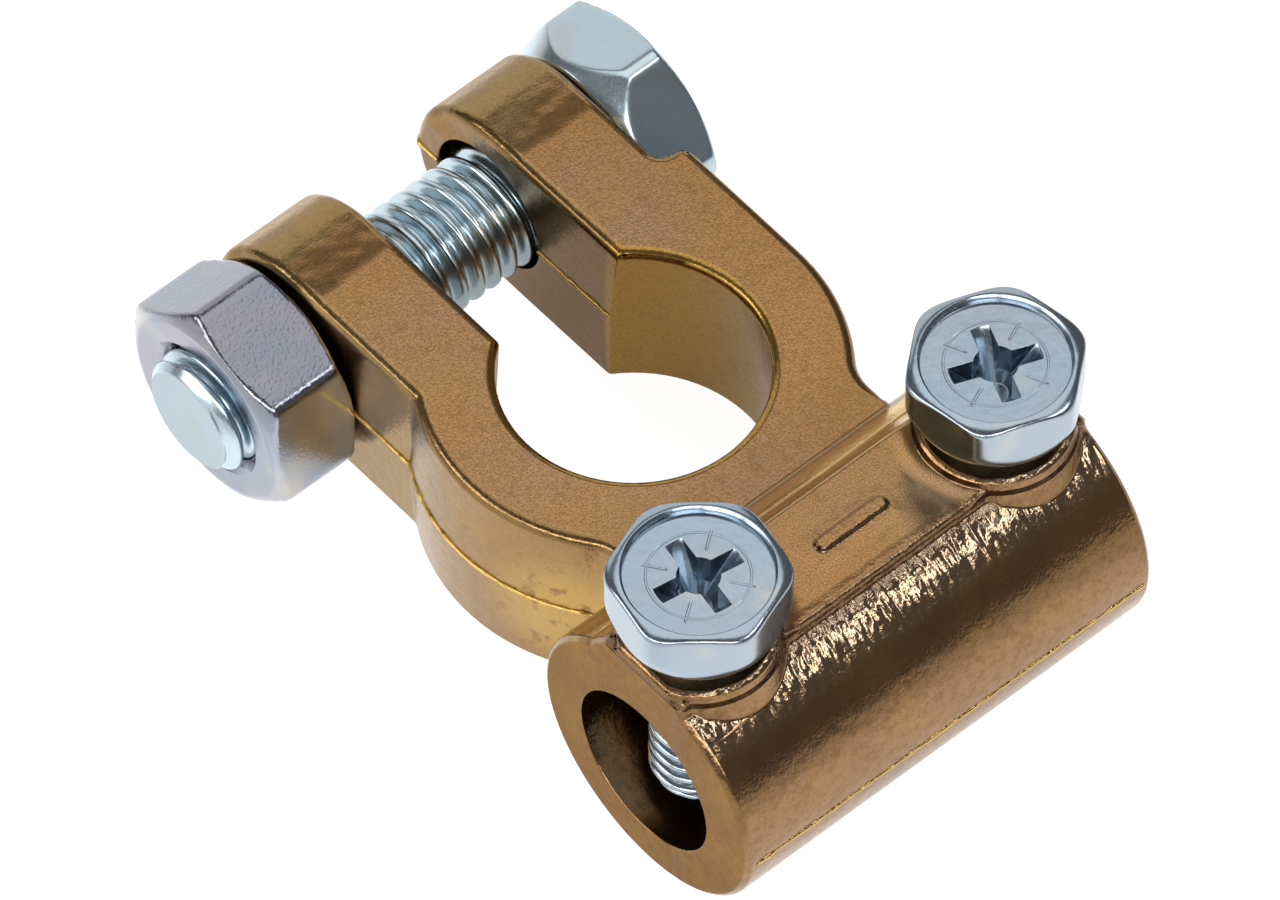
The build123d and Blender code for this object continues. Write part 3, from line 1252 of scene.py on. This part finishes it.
@dataclass
class Fastener:
    """A plated bolt, nut or screw: a rolled hexagon, the hollows of its CAD node, and a cut thread."""

    node: str
    body: str
    slot: str
    material: Material
    hexagon: RolledHexagon
    seat: Matrix
    thread: Thread | None = None
    hollow_radius: float = 0.0
    hollow_round: float = 0.06 * MM
    hollow_angle: float = 25.0
    shank_start: float = 0.01 * MM

    def hollows(self) -> Object:
        """The faces of the CAD node that line its dish and recess, or its bore.

        Returns:
            Their object.
        """
        bm = merged_copy(self.node)
        back = self.seat.inverted()
        outside = []
        for face in bm.faces:
            places = [back @ vert.co for vert in face.verts]
            too_wide = any(place.xy.length > self.hollow_radius for place in places)
            on_shank = all(place.z < self.shank_start for place in places)
            if too_wide or (self.thread and on_shank):
                outside.append(face)
        bmesh.ops.delete(bm, geom=outside, context="FACES")
        return rounded(
            self.node + "_hollows", bm, self.material, limit_method="ANGLE",
            angle_limit=radians(self.hollow_angle), width=self.hollow_round, segments=2,
        )

    def make(self) -> Object:
        """Builds the fastener and hangs it on its body.

        Returns:
            The finished piece.
        """
        parts = [self.hexagon.make(self.seat, self.material)]
        if self.hollow_radius:
            parts.append(self.hollows())
        if self.thread:
            parts.append(self.thread.make(self.seat, self.material))
        piece = join_meshes(self.node + "_plated", parts)
        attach(piece, self.body)
        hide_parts(self.node)
        return piece


@dataclass(frozen=True)
class ViewPoint:
    """The camera: far off with a long lens, looking down on the clamp from the barrel's side."""

    azimuth: float = -40.872
    elevation: float = 54.248
    roll: float = 0.284
    distance: float = 1.17654
    aim_right: float = 0.000362
    aim_up: float = 0.002798
    lens_mm: float = 562.5
    sensor_mm: float = 36.0
    nearest: float = 0.05
    farthest: float = 20.0

    def make(self) -> Object:
        """Creates the camera and makes it the scene's own.

        Returns:
            The camera's object.
        """
        back = way_out(self.azimuth, self.elevation)
        right = Vector((0, 0, 1)).cross(back).normalized()
        up = back.cross(right)
        place = right * self.aim_right + up * self.aim_up + back * self.distance
        data = bpy.data.cameras.new("camera")
        data.lens, data.sensor_width = self.lens_mm, self.sensor_mm
        data.clip_start, data.clip_end = self.nearest, self.farthest
        camera = new_object("camera", data)
        turned = Matrix((right, up, back)).transposed() @ Matrix.Rotation(radians(-self.roll), 3, "Z")
        camera.matrix_world = Matrix.Translation(place) @ turned.to_4x4()
        bpy.context.scene.camera = camera
        return camera


@dataclass(frozen=True)
class SoftBox:
    """One large soft lamp that faces the clamp, given by how bright its face looks."""

    name: str
    azimuth: float
    elevation: float
    distance: float
    width: float
    height: float
    radiance: float

    def make(self) -> Object:
        """Hangs the lamp, turned towards the origin.

        Returns:
            The lamp's object.
        """
        data = bpy.data.lights.new(self.name, "AREA")
        data.shape = "RECTANGLE"
        data.size, data.size_y = self.width, self.height
        data.energy = self.radiance * pi * self.width * self.height
        lamp = new_object(self.name, data)
        away = way_out(self.azimuth, self.elevation)
        lamp.location = away * self.distance
        lamp.rotation_euler = away.to_track_quat("Z", "Y").to_euler()
        return lamp


@dataclass
class Studio:
    """The pale floor, the soft lamps and the dim room round them."""

    floor_size: float = 6.0
    room: Colour = (0.155, 0.155, 0.165, 1.0)
    # Each lamp's name, azimuth, elevation, distance, width, height and radiance.
    lamps: tuple = (
        SoftBox("overhead", 139.0, 75.0, 1.0, 1.1, 0.86, 1.15),
        SoftBox("low_back_panel", 155.0, 18.0, 1.2, 1.3, 0.78, 0.85),
        SoftBox("front_strip", 36.0, 51.0, 1.0, 0.5, 0.065, 11.0),
        SoftBox("left_low_panel", -98.0, 8.0, 1.2, 1.0, 0.36, 0.8),
        SoftBox("left_strip", -120.0, 26.0, 1.2, 0.8, 0.42, 4.0),
        SoftBox("near_strip", -26.0, 38.0, 1.4, 0.7, 0.44, 5.5),
        SoftBox("side_strip", -72.0, 32.0, 1.4, 1.0, 0.42, 5.5),
    )

    def make(self) -> None:
        """Builds the floor, the lamps and the world."""
        bm = bmesh.new()
        bmesh.ops.create_grid(bm, x_segments=1, y_segments=1, size=self.floor_size / 2)
        bmesh.ops.translate(bm, verts=bm.verts, vec=(0, 0, FLOOR_HEIGHT))
        floor = new_object("floor", mesh_from(bm, "floor"))
        floor.data.materials.append(PaleFloor().make())
        world = bpy.data.worlds.new("studio")
        world.use_nodes = True
        world.node_tree.nodes["Background"].inputs["Color"].default_value = self.room
        bpy.context.scene.world = world
        for lamp in self.lamps:
            lamp.make()


def main() -> None:
    """Builds the studio and every piece of the clamp."""
    logging.basicConfig(level=logging.INFO, format="%(name)s: %(message)s")
    bpy.context.scene.view_settings.view_transform = "Standard"
    ViewPoint().make()
    Studio().make()
    grain = grain_group()
    brass = CastBrass().make(grain)
    bolt_zinc = ZincPlate(
        "bolt_zinc", (0.49, 0.6, 0.66, 1.0), (0.47, 0.58, 0.64, 1.0), roughness=0.21,
        grain_height=0.0007, lump_height=0.006, end_shade=0.3,
    ).make(grain)
    nut_zinc = ZincPlate(
        "nut_zinc", (0.33, 0.37, 0.44, 1.0), (0.38, 0.37, 0.43, 1.0),
        lump_height=0.022, lumps_per_mm=5.0, top_shade=0.3, end_shade=0.16,
    ).make(grain)
    screw_zinc = ZincPlate(
        "screw_zinc", (0.34, 0.42, 0.49, 1.0), (0.35, 0.41, 0.47, 1.0),
        lump_height=0.014, recess_turns=RECESS_TURNS,
    ).make(grain)
    pieces: list[Casting | Fastener] = [
        Casting(brass),
        Fastener(
            "terminal_bolt", "clamp", "bolt_plating", bolt_zinc,
            RolledHexagon(
                "bolt_head", across_flats=13.0 * MM, height=5.3 * MM, turn=-15.1,
                top_inset=0.3 * MM, bottom_inset=0.35 * MM, bottom_angle=60.0,
            ),
            Seat.OUT.at(BOLT_AXIS + Vector((EAR_FACE, 0, 0))),
            Thread(
                "bolt_shank", major_radius=3.95 * MM, pitch=1.25 * MM, depth=0.7 * MM,
                length=30.3 * MM, tip_radius=3.3 * MM, tip_length=0.65 * MM,
            ),
        ),
        Fastener(
            "terminal_nut", "nut", "nut_plating", nut_zinc,
            RolledHexagon(
                "nut", across_flats=13.0 * MM, height=NUT_HEIGHT, turn=20.3, top_inset=0.3 * MM,
                bottom_inset=0.3 * MM, inner_top=4.62 * MM, inner_bottom=4.62 * MM,
            ),
            Seat.OUT.at(BOLT_AXIS - Vector((EAR_FACE + NUT_HEIGHT, 0, 0))),
            hollow_radius=4.66 * MM,
        ),
    ]
    for side, sign, head_turn in (("left", -1, 19.2), ("right", 1, 39.4)):
        pieces.append(Fastener(
            "cable_screw_" + side, side + "_screw", "screw_plating", screw_zinc,
            RolledHexagon(
                side + "_head", across_flats=10.0 * MM, height=4.3 * MM, turn=head_turn,
                top_inset=0.08 * MM, bottom_inset=0.3 * MM, bottom_angle=60.0, roll=0.3 * MM,
                corner_cut=0.3 * MM, blend=0.42 * MM, inner_top=4.56 * MM,
            ),
            Seat.UP.at(Vector((sign * SCREW_OFFSET, SCREW_LINE, SCREW_SEAT))),
            Thread(
                side + "_shank", major_radius=2.94 * MM, pitch=1.0 * MM, depth=0.53 * MM,
                length=15.0 * MM, tip_radius=2.47 * MM, tip_length=0.5 * MM,
            ),
            hollow_radius=4.59 * MM,
        ))
    for piece in pieces:
        made = piece.make()
        log.info("%s: %d faces", made.name, len(made.data.polygons))


if __name__ == "__main__":
    main()
